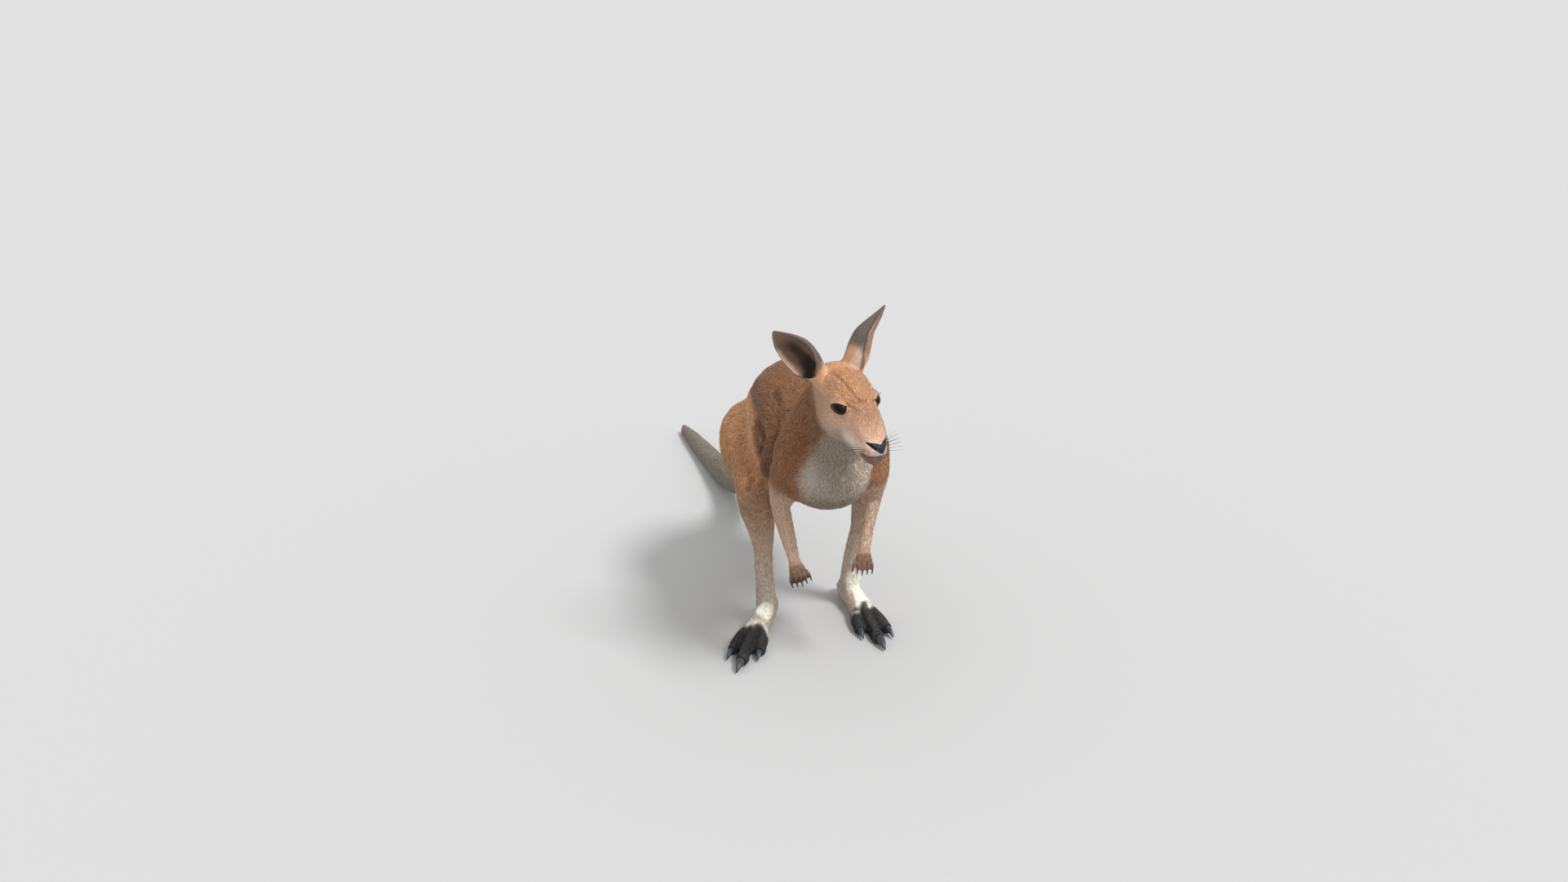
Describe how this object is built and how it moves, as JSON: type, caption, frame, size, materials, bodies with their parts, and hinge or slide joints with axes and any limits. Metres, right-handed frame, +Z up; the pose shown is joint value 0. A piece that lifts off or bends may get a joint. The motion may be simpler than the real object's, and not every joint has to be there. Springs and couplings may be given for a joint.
{
  "type": "red kangaroo",
  "caption": "Life-size kangaroo standing on its hind feet, body leaning forward, head turned aside, forearms hanging and tail laid on the floor.",
  "frame": {"origin": "middle of the bounding box, on the floor under the animal", "axes": "+Z up; the body faces -Y and the tail runs towards +Y; the animal's left side is +X"},
  "size_m": [0.437, 1.717, 0.9607],
  "materials": {
    "coat": "short rufous fur",
    "tail": "short grey-olive fur",
    "foot": "short pale and black fur",
    "ear": "thin furred skin",
    "eye": "wet gloss",
    "claw": "satin horn",
    "nose": "damp bare skin"
  },
  "bodies": {
    "root": {"chest": "coat", "claw_left_fifth": "claw", "claw_left_fourth": "claw", "claw_left_inner": "claw", "claw_right_fifth": "claw", "claw_right_fourth": "claw", "claw_right_inner": "claw", "ear_left": "ear", "ear_right": "ear", "eye_left": "eye", "eye_right": "eye", "foot_left": "foot", "foot_right": "foot", "forearm_left": "coat", "forearm_right": "coat", "head": "coat", "loin": "coat", "neck": "coat", "nose": "nose", "paw_claw_left_1": "claw", "paw_claw_left_2": "claw", "paw_claw_left_3": "claw", "paw_claw_left_4": "claw", "paw_claw_left_5": "claw", "paw_claw_right_1": "claw", "paw_claw_right_2": "claw", "paw_claw_right_3": "claw", "paw_claw_right_4": "claw", "paw_claw_right_5": "claw", "paw_left": "coat", "paw_right": "coat", "rump": "coat", "shin_left": "coat", "shin_right": "coat", "tail_1": "tail", "tail_2": "tail", "tail_3": "tail", "tail_4": "tail", "thigh_left": "coat", "thigh_right": "coat", "upper_arm_left": "coat", "upper_arm_right": "coat"}
  },
  "joints": []
}
